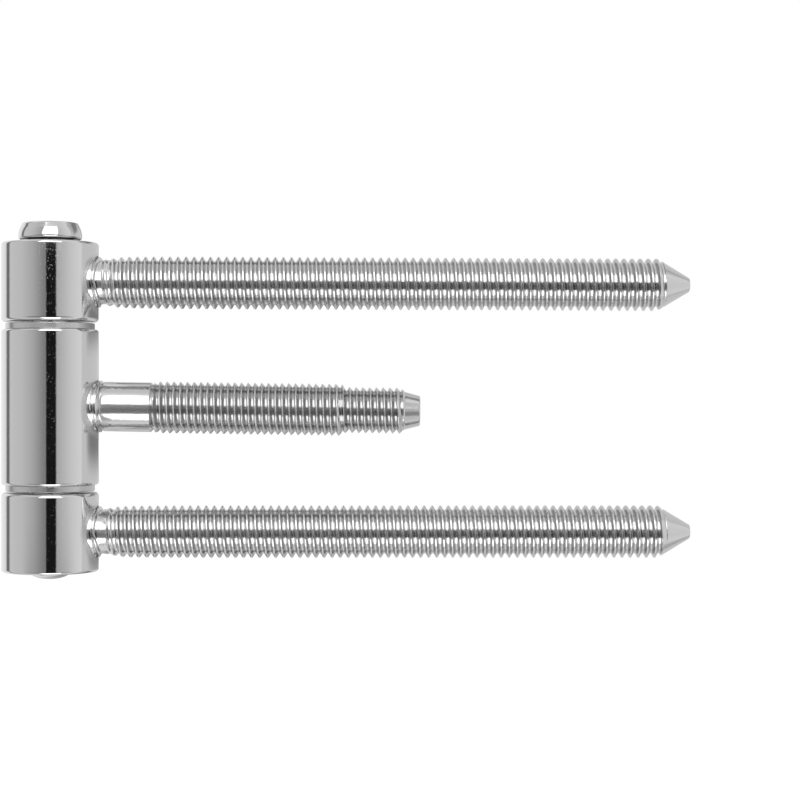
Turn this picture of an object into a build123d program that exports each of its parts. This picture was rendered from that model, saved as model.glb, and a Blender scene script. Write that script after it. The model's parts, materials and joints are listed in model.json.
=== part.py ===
from build123d import *
import os
from math import radians, tan

# Three-part drill-in hinge for a door.
# Two short frame knuckles and one long door knuckle turn on one headed pin.
# Each knuckle carries a stud that is screwed into a drilled hole in the frame or the door.
# Units are millimetres. The hinge axis is Z, and the studs point along +X.
# The origin lies on the hinge axis, half way up the door knuckle.

# Knuckles
knuckle_dia = 17.8
frame_knuckle_height = 14.68
door_knuckle_height = 28.75
frame_knuckle_outer_round = 0.5
frame_knuckle_inner_round = 0.75
door_knuckle_round = 0.5
bore_mouth_chamfer = 0.3

# Bearing bushes, pressed into both ends of the door knuckle
bush_flange_dia = 16.4
bush_flange_thickness = 1.15
bush_flange_round = 0.12
bush_wall = 1.2
bush_sleeve_length = 8.5
bush_seat_relief = 0.3

# Hinge pin with a button head, dropped in from above and held off the knuckle by a low collar
pin_dia = 7.6
pin_collar_dia = 8.8
pin_collar_height = 0.5
pin_head_dia = 11.7
pin_head_bend_dia = 11.12
pin_head_bend_height = 2.6
pin_head_shoulder_dia = 10.2
pin_head_height = 3.95
pin_head_crown = 0.3
pin_head_shoulder_round = 0.45
pin_head_foot_round = 0.65
pin_tail_dome = 1.45

# Frame studs, with a screw thread drawn at its outer diameter
frame_thread_dia = 9.75
frame_stud_length = 109.75
frame_point_half_angle = 31.0
frame_point_end_dia = 2.5
frame_point_end_round = 0.35
frame_neck_dia = 8.1
frame_neck_end = 1.75
frame_run_out_end = 2.6
upper_stud_rise = 0.08
upper_stud_droop = 0.26

# Door stud: plain shank, full thread, smaller lead thread and a blunt pilot end
door_stud_length = 59.75
door_stud_rise = 0.25
door_stud_droop = 0.8
door_shank_dia = 9.15
door_shank_length = 10.25
door_shank_chamfer = 0.4
door_thread_dia = 9.65
door_thread_length = 34.9
door_lead_dia = 8.55
door_lead_length = 11.0
door_lead_chamfer = 0.75
door_pilot_base_dia = 7.0
door_pilot_end_dia = 5.5
door_pilot_end_round = 0.35

# Root of every stud: the threaded tang in the knuckle wall, and what shows of its last turn
tang_dia = 9.75
tang_seat = 2.0
tang_showing = 0.35
tang_fade = 0.65

# Clearances
pin_running_clearance = 0.05
pin_relief_clearance = 0.3
end_play = 0.25
tang_clearance = 0.02

# Sizes that follow from the ones above
knuckle_radius = knuckle_dia / 2
pin_radius = pin_dia / 2
running_radius = pin_radius + pin_running_clearance
relief_radius = pin_radius + pin_relief_clearance
bush_radius = running_radius + bush_wall
tang_radius = tang_dia / 2
bush_seat_depth = bush_sleeve_length + bush_seat_relief
frame_knuckle_low = door_knuckle_height / 2 + bush_flange_thickness + end_play
frame_stud_height = frame_knuckle_low + frame_knuckle_height / 2
stack_top = frame_knuckle_low + frame_knuckle_height


def turned_about_x(outline):
    """Solid of revolution about X from corners given as (place along X, radius)."""
    start, end = outline[0][0], outline[-1][0]
    corners = [(start, 0), *outline, (end, 0)]
    return revolve(make_face(Polyline(*corners, close=True)), Axis.X)


def rims_along(solid, axis):
    """The full round edges of a turned solid, in order along an axis."""
    return solid.edges().filter_by(lambda edge: edge.is_closed).sort_by(axis)


def knuckle_blank(height, low_round, high_round):
    """Turned barrel centred on the origin, with its lower and its upper rim rounded."""
    barrel = Cylinder(knuckle_radius, height)
    barrel = fillet(rims_along(barrel, Axis.Z)[0], low_round)
    return fillet(rims_along(barrel, Axis.Z)[-1], high_round)


def bar_between(radius, low, high):
    """Round bar on the hinge axis between two heights, also used to cut a hole."""
    return Pos(0, 0, low) * Cylinder(radius, high - low, align=(Align.CENTER, Align.CENTER, Align.MIN))


def mouth_cutter(radius, face_height, inward):
    """Cutter for the bevel where a hole on the hinge axis meets an end face."""
    bevel = Cone(radius, radius + bore_mouth_chamfer, bore_mouth_chamfer)
    flat = bevel if inward < 0 else Rot(180, 0, 0) * bevel
    return Pos(0, 0, face_height + inward * bore_mouth_chamfer / 2) * flat


def stud_place(rise, droop):
    """Place of a stud in its knuckle: its height above the middle, and how far it droops as it leaves."""
    return Pos(0, 0, rise) * Rot(0, droop, 0)


def tang_hole():
    """Cutter for the cross hole in a knuckle's wall, from the tang's flat seat outwards."""
    hole_radius = tang_radius + tang_clearance
    return turned_about_x([(tang_seat, hole_radius), (knuckle_dia, hole_radius)])


def make_frame_knuckle(place, low_round, high_round):
    """Short knuckle centred on the origin, with its pin bore and the cross hole for its stud."""
    half = frame_knuckle_height / 2
    body = knuckle_blank(frame_knuckle_height, low_round, high_round)
    body -= bar_between(running_radius, -half, half)
    body -= mouth_cutter(running_radius, half, -1)
    body -= mouth_cutter(running_radius, -half, 1)
    return body - place * tang_hole()


def make_door_knuckle(place):
    """Long knuckle with a bush seat in each end and a wider relief bore between them."""
    half = door_knuckle_height / 2
    body = knuckle_blank(door_knuckle_height, door_knuckle_round, door_knuckle_round)
    body -= bar_between(relief_radius, -half, half)
    body -= bar_between(bush_radius, half - bush_seat_depth, half)
    body -= bar_between(bush_radius, -half, bush_seat_depth - half)
    body -= mouth_cutter(bush_radius, half, -1)
    body -= mouth_cutter(bush_radius, -half, 1)
    return body - place * tang_hole()


def make_bush():
    """Flanged bush standing on its sleeve, with the flange's underside at height zero."""
    sleeve = bar_between(bush_radius, -bush_sleeve_length, bush_flange_thickness)
    flange = bar_between(bush_flange_dia / 2, 0, bush_flange_thickness)
    body = fillet(rims_along(flange, Axis.Z), bush_flange_round) + sleeve
    return body - bar_between(running_radius, -bush_sleeve_length, bush_flange_thickness)


def tang_outline():
    """Corners of the tang, from its seat beside the hinge axis to the last turn that shows."""
    return [(tang_seat, tang_radius), (knuckle_radius + tang_showing, tang_radius)]


def make_frame_stud(place):
    """Long stud with a neck beside the knuckle and a conical point, cut away for the pin."""
    thread_radius = frame_thread_dia / 2
    neck_radius = frame_neck_dia / 2
    end_radius = frame_point_end_dia / 2
    tip = knuckle_radius + frame_stud_length
    point_length = (thread_radius - end_radius) / tan(radians(frame_point_half_angle))
    outline = [
        *tang_outline(),
        (knuckle_radius + tang_showing + tang_fade, neck_radius),
        (knuckle_radius + frame_neck_end, neck_radius),
        (knuckle_radius + frame_run_out_end, thread_radius),
        (tip - point_length, thread_radius),
        (tip, end_radius),
    ]
    stud = turned_about_x(outline)
    stud = fillet(rims_along(stud, Axis.X)[-1], frame_point_end_round)
    return place * stud - bar_between(running_radius, -knuckle_dia, knuckle_dia)


def make_door_stud(place):
    """Short stud: shank, full thread, lead thread and pilot end, cut away for the pin."""
    shank_radius = door_shank_dia / 2
    thread_radius = door_thread_dia / 2
    lead_radius = door_lead_dia / 2
    pilot_radius = door_pilot_base_dia / 2
    end_radius = door_pilot_end_dia / 2
    shank_end = knuckle_radius + door_shank_length
    thread_end = shank_end + door_thread_length
    lead_end = thread_end + door_lead_length
    outline = [
        *tang_outline(),
        (knuckle_radius + tang_showing + tang_fade, shank_radius),
        (shank_end - door_shank_chamfer, shank_radius),
        (shank_end, shank_radius - door_shank_chamfer),
        (shank_end + door_shank_chamfer, thread_radius),
        (thread_end, thread_radius),
        (thread_end + door_lead_chamfer, lead_radius),
        (lead_end, lead_radius),
        (lead_end + door_lead_chamfer, pilot_radius),
        (knuckle_radius + door_stud_length, end_radius),
    ]
    stud = turned_about_x(outline)
    stud = fillet(rims_along(stud, Axis.X)[-1], door_pilot_end_round)
    return place * stud - bar_between(relief_radius, -knuckle_dia, knuckle_dia)


def make_pin_head():
    """Button head standing on height zero: low collar, rounded foot, bent and sloping side, crowned top."""
    radius = pin_head_dia / 2
    shoulder_height = pin_head_height - pin_head_crown
    foot_height = pin_collar_height + pin_head_foot_round
    with BuildSketch(Plane.XZ) as section:
        with BuildLine():
            under = Line((0, pin_collar_height), (radius - pin_head_foot_round, pin_collar_height))
            foot = TangentArc(under @ 1, (radius, foot_height), tangent=(1, 0))
            bend = TangentArc(foot @ 1, (pin_head_bend_dia / 2, pin_head_bend_height), tangent=(0, 1))
            slope = Line(bend @ 1, (pin_head_shoulder_dia / 2, shoulder_height))
            crown = TangentArc((0, pin_head_height), slope @ 1, tangent=(1, 0))
            Line(crown @ 0, under @ 0)
        make_face()
    head = revolve(section.sketch, Axis.Z)
    head = fillet(rims_along(head, Axis.Z)[-1], pin_head_shoulder_round)
    return head + bar_between(pin_collar_dia / 2, 0, pin_head_height / 2)


def make_pin():
    """Pin from its domed tail up to the head, which rests on the top knuckle."""
    with BuildSketch(Plane.XZ) as section:
        with BuildLine():
            tail = EllipticalCenterArc((0, -stack_top), pin_radius, pin_tail_dome, start_angle=270, arc_size=90)
            Polyline(tail @ 1, (pin_radius, stack_top), (0, stack_top), tail @ 0)
        make_face()
    shaft = revolve(section.sketch, Axis.Z)
    return shaft + Pos(0, 0, stack_top) * make_pin_head()


def make_nodes():
    """All pieces by node name, each in its place at rest."""
    half = door_knuckle_height / 2
    inner, outer = frame_knuckle_inner_round, frame_knuckle_outer_round
    upper, lower = Pos(0, 0, frame_stud_height), Pos(0, 0, -frame_stud_height)
    upper_stud = stud_place(upper_stud_rise, upper_stud_droop)
    door_stud = stud_place(door_stud_rise, door_stud_droop)
    lower_stud = stud_place(0, 0)
    bush = make_bush()
    return {
        "upper_knuckle": upper * make_frame_knuckle(upper_stud, inner, outer),
        "upper_frame_stud": upper * make_frame_stud(upper_stud),
        "upper_bush": Pos(0, 0, half) * bush,
        "door_knuckle": make_door_knuckle(door_stud),
        "door_stud": make_door_stud(door_stud),
        "lower_bush": Pos(0, 0, -half) * Rot(180, 0, 0) * bush,
        "lower_knuckle": lower * make_frame_knuckle(lower_stud, outer, inner),
        "lower_frame_stud": lower * make_frame_stud(lower_stud),
        "hinge_pin": make_pin(),
    }


os.makedirs("parts", exist_ok=True)
for name, solid in make_nodes().items():
    solid.label = name
    export_step(solid, f"parts/{name}.step")
    print(f"{name}: {solid.volume:.0f} cubic millimetres")
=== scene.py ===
# %% [markdown]
# # A drill-in hinge in a light tent
#
# The hinge is a stack of three bright plated knuckles on one pin. Each knuckle carries a threaded stud.
# All of it is metal, so the picture is made of three things: exact outlines, real screw threads, and what
# the metal mirrors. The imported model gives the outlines. This script adds the threads, the finishes and
# the light.

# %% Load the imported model
import json
from math import pi, radians, tan

import bmesh
import bpy
import numpy as np
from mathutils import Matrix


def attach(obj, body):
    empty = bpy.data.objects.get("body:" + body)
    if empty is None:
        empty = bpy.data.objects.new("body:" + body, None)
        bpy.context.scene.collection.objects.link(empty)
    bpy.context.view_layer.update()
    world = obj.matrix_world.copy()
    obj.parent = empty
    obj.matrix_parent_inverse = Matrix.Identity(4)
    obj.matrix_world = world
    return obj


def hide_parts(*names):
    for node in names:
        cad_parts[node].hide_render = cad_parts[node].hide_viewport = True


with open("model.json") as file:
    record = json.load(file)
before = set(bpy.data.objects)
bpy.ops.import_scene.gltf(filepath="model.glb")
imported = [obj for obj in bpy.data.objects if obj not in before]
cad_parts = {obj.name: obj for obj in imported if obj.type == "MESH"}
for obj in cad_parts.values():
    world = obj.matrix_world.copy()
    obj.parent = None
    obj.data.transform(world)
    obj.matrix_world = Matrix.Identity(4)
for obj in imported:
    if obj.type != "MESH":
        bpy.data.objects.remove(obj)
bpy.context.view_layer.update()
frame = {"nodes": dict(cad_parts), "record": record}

MM = 0.001
mounts = {mount["name"]: mount for mount in frame["record"]["mounts"]}
body_of = {node: body for body, nodes in frame["record"]["behaviour"]["bodies"].items() for node in nodes}

# %% [markdown]
# ## Camera
#
# The photo is square to the studs and was taken from quite near: the round ends of the knuckles bulge by
# four pixels. A pinhole camera 350 mm in front of the hinge gives the same bulge. It looks along +Y and
# stands level with the middle of the door knuckle. The light lines on the threads show that it stood a
# little nearer to the knuckles than the middle of the picture, so the lens is shifted sideways, as a
# cropped photo would be.

# %% Camera
camera_distance = 350 * MM
camera_side = 59.5 * MM
camera_height = 1.32 * MM
picture_middle = 64.93 * MM
nearest_seen = 10 * MM
image_pixels = 800
focal_pixels = 1885

camera = bpy.data.objects.new("camera", bpy.data.cameras.new("camera"))
camera.location = (camera_side, -camera_distance, camera_height)
camera.rotation_euler = (radians(90), 0, 0)
camera.data.lens = camera.data.sensor_width * focal_pixels / image_pixels
camera.data.shift_x = (picture_middle - camera_side) / camera_distance * focal_pixels / image_pixels
camera.data.clip_start = nearest_seen
bpy.context.scene.collection.objects.link(camera)
bpy.context.scene.camera = camera
bpy.context.scene.view_settings.view_transform = "Standard"
print("lens", round(camera.data.lens, 2), "mm, shift", round(camera.data.shift_x, 3))

# %% [markdown]
# ## Greys
#
# Light in Blender is linear, but a grey on the screen is not. The finishes and the tent are described by the
# greys that the photo shows, so one helper turns a grey into light.


# %% Greys
def shade(level):
    """Linear light for a grey of 0 to 255 on the screen: the inverse of the sRGB curve."""
    value = level / 255
    return value / 12.92 if value <= 0.04045 else ((value + 0.055) / 1.055) ** 2.4


print("a middle grey of 128 is", round(shade(128), 3), "in linear light")

# %% [markdown]
# ## Node helpers
#
# Every finish here is a small graph of maths nodes. These helpers keep the graphs short: a maths node, a soft
# step between two values, a soft band out of two steps, and a blend of two values.


# %% Node helpers
def plug(tree, value, socket):
    """Links a socket, or sets a number."""
    if isinstance(value, bpy.types.NodeSocket):
        tree.links.new(value, socket)
    else:
        socket.default_value = value


def maths(tree, operation, first, second=0.0):
    """One maths node, and the socket with its result."""
    node = tree.nodes.new("ShaderNodeMath")
    node.operation = operation
    plug(tree, first, node.inputs[0])
    plug(tree, second, node.inputs[1])
    return node.outputs[0]


def step(tree, value, start, stop, low=0.0, high=1.0):
    """Smooth step: low before start, high after stop, and an S-shaped rise between them."""
    node = tree.nodes.new("ShaderNodeMapRange")
    node.interpolation_type = "SMOOTHSTEP"
    plug(tree, value, node.inputs["Value"])
    node.inputs["From Min"].default_value = start
    node.inputs["From Max"].default_value = stop
    node.inputs["To Min"].default_value = low
    node.inputs["To Max"].default_value = high
    return node.outputs["Result"]


def band(tree, value, start, stop, soft):
    """One inside start to stop and nothing outside: the product of a step up and a step down."""
    up = step(tree, value, start - soft / 2, start + soft / 2)
    down = step(tree, value, stop - soft / 2, stop + soft / 2, 1.0, 0.0)
    return maths(tree, "MULTIPLY", up, down)


def mix(tree, share, first, second):
    """Blend of two values: first where share is 0, second where it is 1."""
    node = tree.nodes.new("ShaderNodeMix")
    plug(tree, share, node.inputs["Factor"])
    plug(tree, first, node.inputs[2])
    plug(tree, second, node.inputs[3])
    return node.outputs[0]


print("helpers for maths, steps, bands and blends")

# %% [markdown]
# ## Places and directions
#
# A finish depends on the place on the piece, and the tent on a direction. The place is read as Object
# coordinates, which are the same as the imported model's own. A direction becomes two angles, as on a compass.


# %% Places and directions
def split(tree, vector):
    """The X, Y and Z of a vector."""
    node = tree.nodes.new("ShaderNodeSeparateXYZ")
    tree.links.new(vector, node.inputs[0])
    return node.outputs["X"], node.outputs["Y"], node.outputs["Z"]


def object_place(tree):
    """The place on the piece, in metres from the hinge's origin."""
    return tree.nodes.new("ShaderNodeTexCoord").outputs["Object"]


def compass(tree, direction):
    """Azimuth round the hinge from the camera's side, and elevation, of a unit direction in degrees."""
    right, back, up = split(tree, direction)
    towards_camera = maths(tree, "MULTIPLY", back, -1)
    azimuth = maths(tree, "DEGREES", maths(tree, "ARCTAN2", right, towards_camera))
    return azimuth, maths(tree, "DEGREES", maths(tree, "ARCSINE", up))


print("helpers for places and directions")

# %% [markdown]
# ## The light tent
#
# Bright metal has no look of its own. A photographer puts it in a tent of white cloth, with a soft panel of
# light above the lens and one below it, and the metal shows the tent. The camera looks in through a slit, and
# that slit is the black stripe on each knuckle.
#
# The tent could be built of real cards. Here it is a formula of direction in the world's nodes: azimuth round
# the hinge and elevation above the horizon. That costs no geometry, has no noise, and stays put when the view
# moves. The camera stands 6.5 mm farther from the knuckles than the light lines ask, so that other views
# keep the hinge in the picture. That turns what the metal mirrors by a degree, and the tent turns with it.
#
# The cloth's greys are written as they look in the metal. Plating takes away a third of the light at each
# bounce, so the tent is that much brighter. The grooves of a thread bounce the light three times, and so come
# out darker.

# %% Tent walls
world = bpy.data.worlds.new("light_tent")
bpy.context.scene.world = world
world.use_nodes = True
tent = world.node_tree
tent.nodes.clear()

plating_white = 0.64
tent_turn = 1.05
compass_azimuth, elevation = compass(tent, tent.nodes.new("ShaderNodeTexCoord").outputs["Generated"])
azimuth = maths(tent, "SUBTRACT", compass_azimuth, tent_turn)


def in_metal(level):
    """Light that looks like a grey of 0 to 255 once the plating has mirrored it."""
    return shade(level) / plating_white


# The cloth walls: azimuth in degrees from the camera, and how light the cloth looks there.
walls = [
    (-180, 150), (-145, 218), (-121.5, 210), (-115, 112), (-107.5, 92), (-100, 190), (-62, 182), (-32, 162),
    (-6, 121), (22, 162), (58, 193), (86, 206), (95, 172), (118, 150), (163, 143), (180, 150),
]
ramp = tent.nodes.new("ShaderNodeValToRGB")
folds = ramp.color_ramp.elements
for wall_azimuth, level in walls[1:-1]:
    folds.new((wall_azimuth + 180) / 360)
for fold, (wall_azimuth, level) in zip(folds, walls):
    fold.position = (wall_azimuth + 180) / 360
    fold.color = (in_metal(level),) * 3 + (1,)
tent.links.new(maths(tent, "DIVIDE", maths(tent, "ADD", azimuth, 180), 360), ramp.inputs[0])
print("cloth walls with", len(folds), "folds")

# %% [markdown]
# ## Roof, ground and slit
#
# Above the walls comes a pale roof with a slightly darker top, and below them a pale ground cloth. Under the
# lens the cloth lies in a soft shadow. Last comes the black slit. Each is laid over what is there already.
#
# What the camera sees straight behind the hinge is plain white, as in the photo, and what lights the floor is
# too.

# %% Roof, ground and slit
# Roof's rim, roof's top and ground: the elevations where each starts and is full, and its grey.
covers = [((48, 54), 210), ((58, 70), 190), ((-60, -76), 204)]
# The patches: azimuths from and to with softness, elevations from and to with softness, strength and grey.
lens_shadow = ((-50, 60, 30), (-32, -6, 6), 0.65, 97)
lens_slit = ((-1.7, 22.4, 4), (-33, 8, 6), 1.0, 22)

cloth = ramp.outputs["Color"]
for edge, level in covers:
    cloth = mix(tent, step(tent, elevation, *edge), cloth, in_metal(level))
for azimuths, elevations, strength, level in (lens_shadow, lens_slit):
    inside = maths(tent, "MULTIPLY", band(tent, azimuth, *azimuths), band(tent, elevation, *elevations))
    cloth = mix(tent, maths(tent, "MULTIPLY", inside, strength), cloth, in_metal(level))

path = tent.nodes.new("ShaderNodeLightPath")
plain = maths(tent, "MAXIMUM", path.outputs["Is Camera Ray"], path.outputs["Is Diffuse Ray"])
background = tent.nodes.new("ShaderNodeBackground")
tent.links.new(mix(tent, plain, cloth, 1.0), background.inputs["Color"])
world_output = tent.nodes.new("ShaderNodeOutputWorld")
tent.links.new(background.outputs[0], world_output.inputs["Surface"])
print("tent nodes", len(tent.nodes))

# %% [markdown]
# ## Helpers for the stage
#
# The panels, the back cloth and the floor are real surfaces round the hinge, but no part of it. Each gets an
# object, and a material that starts from no nodes at all. Two of them are there for mirrored rays only.


# %% Stage helpers
def bare_material(name):
    """A new material with an empty graph."""
    material = bpy.data.materials.new(name)
    material.use_nodes = True
    material.node_tree.nodes.clear()
    return material


def glow(tree, strength):
    """A surface that gives off light."""
    node = tree.nodes.new("ShaderNodeEmission")
    node.inputs["Strength"].default_value = strength
    return node


def blend(tree, share, first, second):
    """Blend of two shaders: first where share is 0, second where it is 1."""
    node = tree.nodes.new("ShaderNodeMixShader")
    tree.links.new(share, node.inputs[0])
    tree.links.new(first.outputs[0], node.inputs[1])
    tree.links.new(second.outputs[0], node.inputs[2])
    return node


def show(tree, shader):
    """Makes a shader the surface of its material."""
    output = tree.nodes.new("ShaderNodeOutputMaterial")
    tree.links.new(shader.outputs[0], output.inputs["Surface"])


def stage_object(name, points, faces, material):
    """An object of points and faces with one material, in the scene."""
    mesh = bpy.data.meshes.new(name)
    mesh.from_pydata(points, [], faces)
    mesh.materials.append(material)
    piece = bpy.data.objects.new(name, mesh)
    bpy.context.scene.collection.objects.link(piece)
    return piece


def mirrored_only(piece):
    """Hides a piece from all rays but the mirrored ones."""
    for kind in ("camera", "diffuse", "shadow", "transmission"):
        setattr(piece, "visible_" + kind, False)


def grid_faces(rows, columns):
    """Four-sided faces between neighbouring points of a grid: a point, the next row's, and back."""
    corner = (np.arange(rows - 1)[:, None] * columns + np.arange(columns - 1)).ravel()
    return np.stack([corner, corner + columns, corner + columns + 1, corner + 1], 1)


print("a grid of 3 by 3 points has", len(grid_faces(3, 3)), "faces")

# %% [markdown]
# ## Two panels of light
#
# The panels hang much nearer than the cloth. That shows in the photo: the upper stud, the lower stud and the
# pin's head each see the panels' edges at a slightly different height. So they are a real surface, part of a
# ball 450 mm round the middle of the picture. It glows where azimuth and elevation, seen from that middle,
# lie in a panel, and lets the light through elsewhere. Only mirrored rays meet it, so the camera looks
# straight through.

# %% Silk of the panels
panel_strength = 3.0
panel_half_width = 28
panel_softness = 7
# The two edges of each panel: the elevation where the edge starts, and the one where the light is full.
upper_panel = ((8, 18), (53.5, 49.5))
lower_panel = ((-28, -38), (-68, -62))

silk = bare_material("panel_silk")
silk_tree = silk.node_tree
outward = silk_tree.nodes.new("ShaderNodeVectorMath")
outward.operation = "SUBTRACT"
outward.inputs[1].default_value = (picture_middle, 0, 0)
silk_tree.links.new(object_place(silk_tree), outward.inputs[0])
unit = silk_tree.nodes.new("ShaderNodeVectorMath")
unit.operation = "NORMALIZE"
silk_tree.links.new(outward.outputs[0], unit.inputs[0])
silk_azimuth, silk_elevation = compass(silk_tree, unit.outputs[0])


def between_edges(near_edge, far_edge):
    """One between a panel's two edges and nothing beyond them: the product of two soft steps."""
    near = step(silk_tree, silk_elevation, *near_edge)
    return maths(silk_tree, "MULTIPLY", near, step(silk_tree, silk_elevation, *far_edge))


panel_sides = (tent_turn - panel_half_width, tent_turn + panel_half_width, panel_softness)
both_silks = maths(silk_tree, "ADD", between_edges(*upper_panel), between_edges(*lower_panel))
in_panel = maths(silk_tree, "MULTIPLY", band(silk_tree, silk_azimuth, *panel_sides), both_silks)
clear = silk_tree.nodes.new("ShaderNodeBsdfTransparent")
show(silk_tree, blend(silk_tree, in_panel, clear, glow(silk_tree, panel_strength)))
silk.cycles.emission_sampling = "NONE"
print("silk nodes", len(silk_tree.nodes))

# %% [markdown]
# The ball is a grid of azimuth and elevation. A point lies at distance * (sin a * cos e, -cos a * cos e,
# sin e) from the middle, with a the azimuth and e the elevation. It only has to be a little larger than the
# panels, so its back and its poles are left out.

# %% Ball that carries the panels
panel_distance = 450 * MM
ball_azimuth = np.radians(np.linspace(-60, 60, 41))[None, :]
ball_elevation = np.radians(np.linspace(-80, 70, 51))[:, None]
ball = panel_distance * np.stack([
    np.sin(ball_azimuth) * np.cos(ball_elevation),
    -np.cos(ball_azimuth) * np.cos(ball_elevation),
    np.sin(ball_elevation) + 0 * ball_azimuth,
], 2) + (picture_middle, 0, 0)
ball_faces = grid_faces(*ball.shape[:2])
panels = stage_object("light_panels", ball.reshape(-1, 3).tolist(), ball_faces.tolist(), silk)
mirrored_only(panels)
print("panels on", len(ball_faces), "faces")

# %% [markdown]
# ## The cloth behind the hinge
#
# The right side of each knuckle is lighter above its stud than below it. That is the cloth right behind the
# hinge: light from above throws a soft shadow of each stud on it, and the round wall of the knuckle mirrors
# that. A small sheet gives it, with a dark band under each stud that fades out over eight millimetres, and
# that ends before the sheet's far side. Like the panels it is only there for mirrored rays.

# %% Linen of the back cloth
linen_grey = 188
linen_shadow_grey = 118
# In millimetres of height: the studs, the lit part of the sheet with its softness, and where the shadow
# under a stud starts and is full at its lower and at its upper edge.
stud_levels = (23, -1.2, -22)
lit_part = (-42, 41, 8)
shadow_low, shadow_high = (-14, -6), (-1, -4)
shadow_end = (100 * MM, 30 * MM)

linen = bare_material("back_linen")
linen_tree = linen.node_tree
linen_x, _, linen_z = split(linen_tree, object_place(linen_tree))
height_mm = maths(linen_tree, "MULTIPLY", linen_z, 1000)
shadows = maths(linen_tree, "SUBTRACT", 1, band(linen_tree, height_mm, *lit_part))
for stud_level in stud_levels:
    under = maths(linen_tree, "SUBTRACT", height_mm, stud_level)
    edges = step(linen_tree, under, *shadow_low), step(linen_tree, under, *shadow_high)
    shadows = maths(linen_tree, "MAXIMUM", shadows, maths(linen_tree, "MULTIPLY", *edges))
shadows = maths(linen_tree, "MULTIPLY", shadows, step(linen_tree, linen_x, *shadow_end))
linen_glow = glow(linen_tree, 1.0)
linen_light = mix(linen_tree, shadows, in_metal(linen_grey), in_metal(linen_shadow_grey))
linen_tree.links.new(linen_light, linen_glow.inputs["Color"])
show(linen_tree, linen_glow)
linen.cycles.emission_sampling = "NONE"
print("linen with", len(stud_levels), "shadows")

# %% [markdown]
# The sheet itself is one four-sided face that stands upright 14 mm behind the hinge axis. It starts beside
# the knuckles and reaches far past the studs' tips.

# %% Back cloth
cloth_behind = 14 * MM
cloth_left, cloth_right = 10 * MM, 400 * MM
cloth_low, cloth_high = -55 * MM, 60 * MM
cloth_corners = [
    (cloth_left, cloth_behind, cloth_low), (cloth_right, cloth_behind, cloth_low),
    (cloth_right, cloth_behind, cloth_high), (cloth_left, cloth_behind, cloth_high),
]
back_cloth = stage_object("back_cloth", cloth_corners, [(0, 1, 2, 3)], linen)
mirrored_only(back_cloth)
print("back cloth", cloth_behind, "m behind the hinge axis")

# %% [markdown]
# ## Floor
#
# A pale disc lies well below the hinge, which hangs free as it does in the photo. It is white to the camera
# and still takes the hinge's soft shadow: half of it glows for the eye alone, and half is plain white paint.
# The metal doesn't mirror it, because the tent's own lower cloth is what bright metal shows.

# %% Floor
floor_depth = 160 * MM
floor_radius = 2.5
floor_corners = 96
floor_white = 0.93
floor_glow = 1.1
glow_share = 0.5

paint = bare_material("floor_paint")
paint_tree = paint.node_tree
white = paint_tree.nodes.new("ShaderNodeBsdfDiffuse")
white.inputs["Color"].default_value = (floor_white, floor_white, floor_white, 1)
seen = paint_tree.nodes.new("ShaderNodeLightPath").outputs["Is Camera Ray"]
glow_seen = maths(paint_tree, "MULTIPLY", seen, glow_share)
show(paint_tree, blend(paint_tree, glow_seen, white, glow(paint_tree, floor_glow)))

turn = np.arange(floor_corners) * 2 * pi / floor_corners
rim = np.stack([np.cos(turn), np.sin(turn), np.zeros(floor_corners)], 1) * floor_radius
rim[:, 2] = -floor_depth
floor = stage_object("floor", rim.tolist(), [list(range(floor_corners))], paint)
floor.visible_glossy = False
print("floor with a radius of", floor_radius, "m at", -floor_depth, "m")

# %% [markdown]
# ## Soft lamp
#
# One large area lamp high above gives the floor a direction of shadow. It adds little, because the tent
# already lights the hinge from all sides.

# %% Lamp
lamp_width = 0.6
lamp_watts = 0.6
lamp_place = (0.06, -0.1, 0.9)

lamp_data = bpy.data.lights.new("soft_lamp", "AREA")
lamp_data.shape = "DISK"
lamp_data.size = lamp_width
lamp_data.energy = lamp_watts
lamp = bpy.data.objects.new("soft_lamp", lamp_data)
lamp.location = lamp_place
lamp.visible_glossy = False
bpy.context.scene.collection.objects.link(lamp)
print("lamp", lamp_watts, "W")

# %% [markdown]
# ## Finishes
#
# There are four. The knuckles and the pin are bright plated over a turned surface: nearly a mirror, with a
# few specks in the plating that glint in the black stripe. The bush flanges are satin. The studs are zinc
# plated after the thread was rolled: a little rougher and less even.
#
# A metal finish is a Principled shader with metallic 1. The plating's unevenness is bump and roughness from
# noise in Object coordinates, so it keeps its scale and place on every piece.

# %% Finish helper
cloud_scale = 300
cloud_low, cloud_high = 0.3, 0.7
grain_detail = 3
speck_cells = 2400
speck_dullness = 0.3


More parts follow.
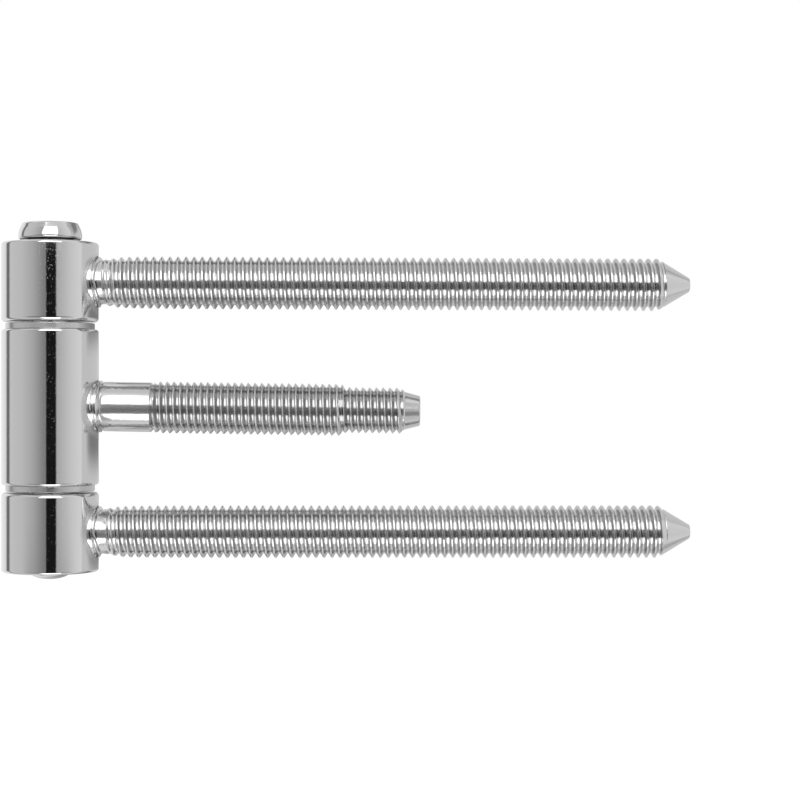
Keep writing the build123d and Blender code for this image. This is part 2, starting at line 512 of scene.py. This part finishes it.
def plated(name, white, roughness, roughness_spread, grain, grain_height, speck_size, speck_height):
    """Metal finish: noise varies the roughness, fine noise gives the grain, and sparse cells the specks.

    Height is grain_height times noise, plus speck_height where a point is near the middle of a cell. The
    plating is dull there too, so a speck shows the mean of its surroundings.
    """
    material = bpy.data.materials.new(name)
    material.use_nodes = True
    tree = material.node_tree
    shader = tree.nodes["Principled BSDF"]
    shader.inputs["Metallic"].default_value = 1.0
    shader.inputs["Base Color"].default_value = (white, white, white, 1)
    place = object_place(tree)

    cloud = tree.nodes.new("ShaderNodeTexNoise")
    cloud.inputs["Scale"].default_value = cloud_scale
    tree.links.new(place, cloud.inputs["Vector"])
    smoothest, roughest = roughness - roughness_spread, roughness + roughness_spread
    spread = step(tree, cloud.outputs[0], cloud_low, cloud_high, smoothest, roughest)

    noise = tree.nodes.new("ShaderNodeTexNoise")
    noise.inputs["Scale"].default_value = grain
    noise.inputs["Detail"].default_value = grain_detail
    tree.links.new(place, noise.inputs["Vector"])
    cells = tree.nodes.new("ShaderNodeTexVoronoi")
    cells.inputs["Scale"].default_value = speck_cells
    tree.links.new(place, cells.inputs["Vector"])
    speck = step(tree, cells.outputs["Distance"], 0.0, speck_size, 1.0, 0.0)
    dull_speck = maths(tree, "MULTIPLY", speck, speck_dullness)
    plug(tree, maths(tree, "ADD", spread, dull_speck), shader.inputs["Roughness"])

    speck_rise = maths(tree, "MULTIPLY", speck, speck_height)
    height = maths(tree, "ADD", maths(tree, "MULTIPLY", noise.outputs[0], grain_height), speck_rise)
    bump = tree.nodes.new("ShaderNodeBump")
    bump.inputs["Distance"].default_value = 1.0
    tree.links.new(height, bump.inputs["Height"])
    tree.links.new(bump.outputs[0], shader.inputs["Normal"])
    return material


print("specks in cells of", round(1000 / speck_cells, 2), "mm")

# %% [markdown]
# The four finishes differ only in numbers. The bush is the roughest and has the finest grain, and the rolled
# studs have the coarsest.

# %% The four finishes
knuckle_finish = plated(
    "bright_plating", white=plating_white, roughness=0.05, roughness_spread=0.01,
    grain=3000, grain_height=2.4e-6, speck_size=0.24, speck_height=4e-6,
)
pin_finish = plated(
    "pin_plating", white=plating_white, roughness=0.09, roughness_spread=0.02,
    grain=3000, grain_height=1.2e-6, speck_size=0.14, speck_height=1.5e-6,
)
bush_finish = plated(
    "satin_steel", white=0.55, roughness=0.28, roughness_spread=0.03,
    grain=9000, grain_height=4e-6, speck_size=0.1, speck_height=2e-6,
)
stud_finish = plated(
    "zinc_plating", white=0.62, roughness=0.14, roughness_spread=0.03,
    grain=1600, grain_height=11e-6, speck_size=0.16, speck_height=2e-6,
)
print("four finishes, the smoothest is", knuckle_finish.name)

# %% [markdown]
# ## Painted shade, and peening
#
# Three helpers change the finishes. The first paints shade on the flanks of a thread: their base colour is
# darker, so the grooves look darker. The knuckle's wall was peened over the stud's tang, which leaves a dull
# ring round each stud. And a dark line of painted shade lies under the pin's head. Each helper changes one
# socket of a finish.

# %% Painted flank shade, peening and painted shade under the head
# Painted shade on the thread flanks: the stud's white without and with it, and where it starts and is full.
unshaded_stud_white, shaded_flank_white = 0.63, 0.49
flank_shade_start, flank_shade_full = 0.35, 0.85
ring_full, ring_gone = 5.3 * MM, 6.6 * MM
ring_dullness = 0.3
wall_start = 2 * MM
far_away = 1.0
# Painted shade under the pin's head: the heights of its band on the hinge axis, its softness, and its white.
head_shade_low, head_shade_high, head_shade_softness = 30.45 * MM, 31.15 * MM, 0.15 * MM
head_shade_white = 0.10


def shade_flanks(material):
    """Paints shade on the flanks of a thread: base colour goes from the unshaded to the shaded white with the
    mesh's flank attribute.
    """
    tree = material.node_tree
    flank = tree.nodes.new("ShaderNodeAttribute")
    flank.attribute_name = "flank"
    shade_share = step(tree, flank.outputs["Fac"], flank_shade_start, flank_shade_full)
    colour = tree.nodes["Principled BSDF"].inputs["Base Color"]
    # Painted shade: the flanks' base colour darkens.
    tree.links.new(mix(tree, shade_share, unshaded_stud_white, shaded_flank_white), colour)


def peened(material, stud_heights):
    """Dulls a ring round each stud on the knuckle's wall: rougher where the distance from the stud is small.

    That distance is the root of y^2 + (z - height of the nearest stud)^2, on the studs' side only.
    """
    tree = material.node_tree
    x, y, z = split(tree, object_place(tree))
    nearest = far_away
    for stud_height in stud_heights:
        offset = maths(tree, "ABSOLUTE", maths(tree, "SUBTRACT", z, stud_height))
        nearest = maths(tree, "MINIMUM", offset, nearest)
    squares = maths(tree, "ADD", maths(tree, "POWER", nearest, 2), maths(tree, "MULTIPLY", y, y))
    ring = step(tree, maths(tree, "SQRT", squares), ring_gone, ring_full)
    dull = maths(tree, "MULTIPLY", ring, step(tree, x, 0, wall_start))
    rough = tree.nodes["Principled BSDF"].inputs["Roughness"]
    added = maths(tree, "MULTIPLY", dull, ring_dullness)
    plug(tree, maths(tree, "ADD", rough.links[0].from_socket, added), rough)


def paint_head_shade(material):
    """Paints shade in a band between two heights on the hinge axis: the dark line under the pin's head."""
    tree = material.node_tree
    _, _, z = split(tree, object_place(tree))
    # The band is painted shade in the gap under the pin's head.
    shade_band = band(tree, z, head_shade_low, head_shade_high, head_shade_softness)
    colour = tree.nodes["Principled BSDF"].inputs["Base Color"]
    tree.links.new(mix(tree, shade_band, plating_white, head_shade_white), colour)


stud_mounts = ("upper_frame_stud", "door_stud", "lower_frame_stud")
# Paints shade on the studs' thread flanks.
shade_flanks(stud_finish)
peened(knuckle_finish, [mounts[stud]["pos_m"][2] for stud in stud_mounts])
# Paints a line of shade under the pin's head.
paint_head_shade(pin_finish)
print("peened rings round", len(stud_mounts), "studs")

# %% [markdown]
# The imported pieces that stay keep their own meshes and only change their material. The studs are replaced
# further on, so they aren't in this list.

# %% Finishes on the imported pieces
finish_of = {
    "upper_knuckle": knuckle_finish, "door_knuckle": knuckle_finish, "lower_knuckle": knuckle_finish,
    "upper_bush": bush_finish, "lower_bush": bush_finish, "hinge_pin": pin_finish,
}
for node, finish in finish_of.items():
    for material_place in frame["nodes"][node].material_slots:
        material_place.material = finish
print("finished", sorted(finish_of))

# %% [markdown]
# ## Screw threads
#
# A thread is a ridge that winds round the stud and moves on by one pitch in each turn. It could be made by
# the Screw modifier, but its ends would be hard to shape. Here the whole stud is one sheet of points in
# rows: place along the axis and angle round it. The radius is a formula of both. Within the thread the rows
# climb with the ridge, so its crest is a clean line and not a staircase.
#
# The rows have to start and end flat. A wedge of rows does that: it opens from nothing to one whole pitch in
# its turn. The two long edges of the sheet then meet exactly, and merging them closes the skin.

# %% Rows of the sheet
# The seam is at the back, and the top of the stud is a quarter turn on from it.
steps_round = 60
top_share = 0.25
turn_share = np.linspace(0, 1, steps_round + 1)[None, :]
angle = 2 * pi * turn_share

# Where the rows cross one pitch, counted from the crest: close together at the crest and in the root.
half_pitch = np.array([0, 0.045, 0.07, 0.095, 0.12, 0.20, 0.30, 0.37, 0.405, 0.44])
pitch_places = np.concatenate([half_pitch, [0.5], 1 - half_pitch[:0:-1]])[:, None]


def flat_rows(*places):
    """Rows square to the axis: the same place all the way round."""
    return np.array(places, float)[:, None] + 0 * turn_share


def helix_rows(first, pitch, turns):
    """Rows that climb by one pitch in each turn, between two wedges that make both ends square.

    The wedge at the start is first + pitch * u * w, with u the place in the pitch and w the share of the
    turn. The rows between are first + pitch * (turn + u + w), and the last wedge is the first one turned
    round.
    """
    last = first + pitch * turns
    count = np.arange(turns)[:, None, None]
    opening = first + pitch * pitch_places * turn_share
    winding = (first + pitch * (count + pitch_places + turn_share)).reshape(-1, steps_round + 1)
    ends = np.append(pitch_places, [[1.0]], 0)
    closing = last + pitch * (turn_share + ends * (1 - turn_share))
    return np.concatenate([opening, winding, closing])


print("rows in one pitch", len(pitch_places))

# %% [markdown]
# ## The ridge
#
# The ridge is a triangle with its tip cut off and its foot rounded. One formula gives it: a straight flank
# that is clipped softly at 0 and at 1. The frame studs have an even ridge. The door stud's ridge leans back
# towards the knuckle, so that flank is steep and the other one shallow.


# %% Ridge
def soft_clip(value, foot, tip):
    """Clips to 0..1 with round corners: a parabola of half width foot near 0, and of tip near 1."""
    low = (value + foot) ** 2 / (4 * foot)
    high = 1 - (1 + tip - value) ** 2 / (4 * tip)
    rounded = np.where(value < foot, low, np.where(value > 1 - tip, high, value))
    return np.where(value < -foot, 0.0, np.where(value > 1 + tip, 1.0, rounded))


def ridge(along, pitch, crest_on_top, knuckle_side, tip_side, crest_half=0.085, foot=0.10, tip=0.10):
    """Height of the thread, 0 in the root and 1 on the crest.

    The distance from the nearest crest, in pitches, is (place - crest) / pitch less the share of the turn
    from the top. The flank falls in a straight line from crest_half to knuckle_side or tip_side.
    """
    valley = knuckle_side / (knuckle_side + tip_side)
    turned = (along - crest_on_top) / pitch - (turn_share - top_share)
    distance = np.mod(turned + valley, 1) - valley
    reach = np.where(distance < 0, knuckle_side, tip_side)
    return soft_clip((reach - abs(distance)) / (reach - crest_half), foot, tip)


def steepness(height):
    """One on the middle of a flank, nothing on the crest and in the root: 4 * height * (1 - height)."""
    return 4 * height * (1 - height)


print("ridge on its crest", ridge(flat_rows(0.0), 1.0, 0.0, 0.4, 0.4)[0, int(top_share * steps_round)])

# %% [markdown]
# ## From rows to a mesh
#
# Each row holds a place along the axis and a radius for every step round. The stud's own axis comes from its
# mount in the record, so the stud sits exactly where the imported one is. Neighbouring rows are joined by
# four-sided faces. Merging closes the seam, the poles and the wedges' tips.

# %% Mesh from rows
weld_distance = 1e-7
sharp_angle = radians(42)


def skin(name, node, along, radius, flank):
    """Mesh of a stud. A point lies at axis start + along * axis + radius * (cos w * side + sin w * up)."""
    mount = mounts[node]
    axis = np.array(mount["axis"], float)
    middle = np.array(mount["pos_m"], float)
    start = middle - axis * middle[0] / axis[0]
    side = np.array([0.0, 1.0, 0.0])
    up = np.cross(axis, side)
    along, radius = along[..., None] * MM, radius[..., None] * MM
    round_axis = np.cos(angle)[..., None] * side + np.sin(angle)[..., None] * up
    points = start + along * axis + radius * round_axis

    rows, columns = points.shape[:2]
    faces = grid_faces(rows, columns)
    mesh = bpy.data.meshes.new(name)
    mesh.vertices.add(rows * columns)
    mesh.vertices.foreach_set("co", points.ravel())
    mesh.loops.add(faces.size)
    mesh.loops.foreach_set("vertex_index", faces.ravel())
    mesh.polygons.add(len(faces))
    mesh.polygons.foreach_set("loop_start", np.arange(len(faces)) * 4)
    mesh.update(calc_edges=True)
    mesh.attributes.new("flank", "FLOAT", "POINT").data.foreach_set("value", flank.ravel())

    shell = bmesh.new()
    shell.from_mesh(mesh)
    bmesh.ops.remove_doubles(shell, verts=shell.verts, dist=weld_distance)
    bmesh.ops.recalc_face_normals(shell, faces=shell.faces)
    shell.to_mesh(mesh)
    open_edges = sum(not edge.is_manifold for edge in shell.edges)
    shell.free()
    mesh.shade_smooth()
    mesh.set_sharp_from_angle(angle=sharp_angle)

    piece = bpy.data.objects.new(name, mesh)
    bpy.context.scene.collection.objects.link(piece)
    piece.data.materials.append(stud_finish)
    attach(piece, body_of[node])
    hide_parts(node)
    print(name, "faces", len(mesh.polygons), "open edges", open_edges)


print("the upper stud rides on", body_of["upper_frame_stud"])

# %% [markdown]
# ## Ends of a stud
#
# The inner end is cut by the pin's bore: a disc whose points are pushed out to the bore's round wall, and no
# further in than the flat seat. The outer end is a small flat disc with a rounded edge, tangent to the cone.
#
# Where the stud comes out of the knuckle, the last turns of its tang show. They were squeezed when the
# knuckle's wall was peened over them, so they follow the wall: further in at the front and back than at the
# top and bottom. From here on all sizes of the studs are in millimetres.

# %% End formulas
tang_seat = 2.0
tang_radius = 4.875
running_bore = 3.85
relief_bore = 4.1
end_round = 0.35
arc_steps = 7
disc_shares = np.array([0, 0.35, 0.7, 1])[:, None]


def root_rows(turns):
    """Rows of the squeezed turns, each given by its place in front, its place above, its lean and its radius.

    With w the angle from the back, a row runs at front + (above - front) * sin^2 w. Where sin 2w is
    positive, which is below at the front, it leans outwards by lean * sin 2w.
    """
    front, above, lean, radius = (np.array(column)[:, None] for column in zip(*turns))
    leaning = lean * np.maximum(np.sin(2 * angle), 0)
    return front + (above - front) * np.sin(angle) ** 2 + leaning, radius + 0 * turn_share


def inner_end(bore):
    """Rows of the inner end: the place is the bore's wall, root of bore^2 - y^2, but at least the seat."""
    radius = tang_radius * disc_shares + 0 * turn_share
    wall = np.sqrt(np.maximum(bore**2 - (radius * np.cos(angle)) ** 2, 0))
    return np.maximum(wall, tang_seat), radius


def outer_end(tip, end_radius, slope):
    """Rows of the outer end: an arc of radius end_round that leaves the cone's slope, then the flat disc."""
    centre = end_radius + end_round * tan(slope) - end_round / np.cos(slope)
    swing = np.linspace(pi / 2 - slope, 0, arc_steps)[:, None] + 0 * turn_share
    arc_along = tip - end_round + end_round * np.cos(swing)
    arc_radius = centre + end_round * np.sin(swing)
    disc_radius = centre * disc_shares[-2::-1] + 0 * turn_share
    return np.concatenate([arc_along, tip + 0 * disc_radius]), np.concatenate([arc_radius, disc_radius])


def whole_stud(name, node, seat, tang, body, end, flank):
    """Puts the rows of a stud's four lengths together. Each length is a pair of places and radii."""
    along, radius = (np.concatenate(lengths) for lengths in zip(seat, tang, body, end))
    before, after = len(seat[0]) + len(tang[0]), len(end[0])
    skin(name, node, along, radius, np.pad(flank, ((before, after), (0, 0))))


print("rows of an inner end", len(inner_end(running_bore)[0]))

# %% [markdown]
# ## Frame studs
#
# From the knuckle outwards: the last turn of the tang's thread, a short neck, the place where the long thread
# runs in, sixty-seven turns, and a cone that cuts them off. The radius is the thread's, but never more than
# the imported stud's outline.

# %% Sizes of the frame studs
frame_radius = 4.875
frame_tip = 118.65
point_end_radius = 1.25
point_slope = radians(31)
point_start = frame_tip - (frame_radius - point_end_radius) / tan(point_slope)

# Where the sheet of the thread starts, where its first wedge may start, how far the rows climb on the cone,
# how far from the tip the last flat row lies, how many steps lead there, and the width of a flank's foot
# in pitches.
sheet_start = 9.82
wedge_start = 9.83
climb_on_cone = 1.6
last_row_short = 0.6
cone_steps = 8
frame_flank = 0.40

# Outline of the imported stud: places along the axis, and radii.
frame_outline = [0, point_start, frame_tip], [frame_radius, frame_radius, point_end_radius]
# The crest rises over the first turns, and the root of the thread is filled where it runs in.
frame_crest = [9.84, 10.3, 11.0, 11.7, 12.5, 15, 25], [4.08, 4.22, 4.38, 4.40, 4.64, 4.78, 4.865]
frame_root = [9.84, 10.3, 10.9, 11.5, 13.0], [4.06, 4.04, 4.08, 4.10, 4.05]
# Share of the painted flank shade and of the wobble along the stud.
frame_flank_shade = [10, 12], [0, 1]
frame_wobble = [10.5, 13, 108], [0, 1, 0]
# Squeezed turns of the tang: place at the front, place above and below, lean, radius.
frame_turns = [
    (7.20, 7.60, 0.20, 4.86), (7.45, 7.80, 0.25, 4.87), (7.70, 8.02, 0.30, 4.875), (7.95, 8.22, 0.30, 4.87),
    (8.15, 8.42, 0.25, 4.82), (8.27, 8.60, 0.20, 4.56), (8.36, 8.76, 0.25, 4.50), (8.44, 8.92, 0.35, 4.66),
    (8.52, 9.06, 0.42, 4.70), (8.60, 9.20, 0.44, 4.68), (8.68, 9.32, 0.42, 4.50), (8.76, 9.42, 0.38, 4.25),
    (8.84, 9.50, 0.34, 4.12), (9.00, 9.58, 0.24, 4.08), (9.30, 9.68, 0.12, 4.08), (9.60, 9.76, 0.04, 4.07),
]
print("cone from", round(point_start, 2), "to", frame_tip, "mm")

# %% [markdown]
# Both frame studs are made by one function. Their pitches differ by half a percent and their crests start at
# different places, as rolled threads do. The two rolling dies of the lower one didn't quite meet, so its
# thread wobbles once in each turn.


# %% Frame studs
def frame_stud(name, node, pitch, crest_on_top, wobble):
    """One frame stud: the ridge between root and crest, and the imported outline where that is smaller.

    With w the angle from the back, the thread wobbles along the axis by minus wobble times sin w.
    """
    # At the seam each crest lies this share of a pitch beyond the place that it has on top.
    seam_share = 1 - top_share
    first = crest_on_top + pitch * (np.ceil((wedge_start - crest_on_top) / pitch - seam_share) + seam_share)
    turns = int((point_start + climb_on_cone - first) / pitch)
    last = first + pitch * (turns + 1)
    along = np.concatenate([
        flat_rows(sheet_start),
        helix_rows(first, pitch, turns),
        flat_rows(*np.linspace(last, frame_tip - last_row_short, cone_steps)[1:]),
    ])
    height = ridge(along, pitch, crest_on_top, knuckle_side=frame_flank, tip_side=frame_flank)
    root, crest = np.interp(along, *frame_root), np.interp(along, *frame_crest)
    thread, outline = root + (crest - root) * height, np.interp(along, *frame_outline)
    # Where the painted flank shade falls: the steep middle of each flank, where the thread is not cut off.
    flank = np.where(thread < outline, steepness(height), 0) * np.interp(along, *frame_flank_shade)
    along = along - wobble * np.sin(angle) * np.interp(along, *frame_wobble)
    body = along, np.minimum(thread, outline)
    end = outer_end(frame_tip, point_end_radius, point_slope)
    whole_stud(name, node, inner_end(running_bore), root_rows(frame_turns), body, end, flank)


frame_stud("upper_frame_screw", "upper_frame_stud", pitch=1.5030, crest_on_top=13.22, wobble=0.01)
frame_stud("lower_frame_screw", "lower_frame_stud", pitch=1.4956, crest_on_top=12.64, wobble=0.14)

# %% [markdown]
# ## Door stud
#
# The door stud is shorter. It has a smooth shank with a bevelled end, a finer thread, a thinner lead thread
# that finds the hole, and a blunt pilot end.

# %% Sizes of the door stud
shank_end = 19.15
thread_stop, lead_start = 54.05, 54.80
pilot_start, door_tip = 65.80, 68.65
pilot_base_radius, pilot_end_radius = 3.5, 2.75
pilot_slope = float(np.arctan((pilot_base_radius - pilot_end_radius) / (door_tip - pilot_start)))
door_pitch = 1.2524
door_crest_on_top = 20.388

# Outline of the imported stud: places along the axis, and radii.
door_outline = (
    [0, 9.25, 9.90, 18.75, shank_end, 19.55, thread_stop, lead_start, 65.05, pilot_start, door_tip],
    [4.875, 4.875, 4.575, 4.575, 4.175, 4.825, 4.825, 4.275, 4.275, pilot_base_radius, pilot_end_radius],
)
door_crest = [thread_stop, lead_start], [4.81, 4.265]
door_root = [shank_end, 19.6, 22.0, thread_stop, lead_start], [3.95, 3.95, 4.10, 4.10, 3.556]
# Rows of the shank: wide apart on the cylinder, and close together at the bevels.
shank_rows = [
    10.1, 12, 15, 18, 18.7, 18.75, 18.85, 19.0,
    19.1, 19.14, 19.16, 19.25, 19.35, 19.45, 19.55, 19.65,
]
# Squeezed turns of the tang: place at the front, place above and below, lean, radius.
door_turns = [
    (7.20, 7.60, 0.20, 4.86), (7.45, 7.80, 0.25, 4.87), (7.66, 8.00, 0.28, 4.875), (7.86, 8.20, 0.28, 4.87),
    (8.02, 8.40, 0.24, 4.82), (8.16, 8.60, 0.16, 4.60), (8.28, 8.80, 0.14, 4.50), (8.40, 8.98, 0.20, 4.66),
    (8.52, 9.14, 0.28, 4.82), (8.62, 9.24, 0.30, 4.82), (8.74, 9.34, 0.28, 4.66), (8.84, 9.42, 0.25, 4.70),
    (8.96, 9.50, 0.22, 4.80), (9.08, 9.58, 0.18, 4.70), (9.22, 9.66, 0.14, 4.48), (9.40, 9.74, 0.10, 4.36),
    (9.60, 9.84, 0.06, 4.42), (9.80, 9.94, 0.03, 4.54),
]
print("pilot end from", pilot_start, "to", door_tip, "mm")

# %% [markdown]
# The door stud is made as the frame studs are. Its ridge has a steep flank towards the knuckle, a sharper
# crest and a wide shallow flank towards the tip. Up to the shank's end the outline alone gives the radius.

# %% Door stud
door_climb_end = 66.0
door_end_steps = 4
door_first = door_crest_on_top - top_share * door_pitch
door_count = int((door_climb_end - door_first) / door_pitch)
door_last = door_first + door_pitch * (door_count + 1)
door_along = np.concatenate([
    flat_rows(*shank_rows),
    helix_rows(door_first, door_pitch, door_count),
    flat_rows(*np.linspace(door_last, door_tip - last_row_short, door_end_steps)[1:]),
])
door_ridge = ridge(
    door_along, door_pitch, door_crest_on_top,
    knuckle_side=0.35, tip_side=0.60, crest_half=0.035, foot=0.10, tip=0.06,
)
door_low, door_high = np.interp(door_along, *door_root), np.interp(door_along, *door_crest)
door_thread = door_low + (door_high - door_low) * door_ridge
door_free = np.where(door_along < shank_end, tang_radius, door_thread)
door_limit = np.interp(door_along, *door_outline)
# The painted flank shade falls on the thread's flanks only, not on the shank.
on_flank = (door_free < door_limit) & (door_along > shank_end)
whole_stud(
    "door_screw", "door_stud",
    seat=inner_end(relief_bore),
    tang=root_rows(door_turns),
    body=(door_along, np.minimum(door_free, door_limit)),
    end=outer_end(door_tip, pilot_end_radius, pilot_slope),
    flank=np.where(on_flank, steepness(door_ridge), 0),
)

# %% [markdown]
# ## Last update
#
# The view layer is brought up to date once more. The dressed model has to stay inside the imported one.

# %% Last update
bpy.context.view_layer.update()
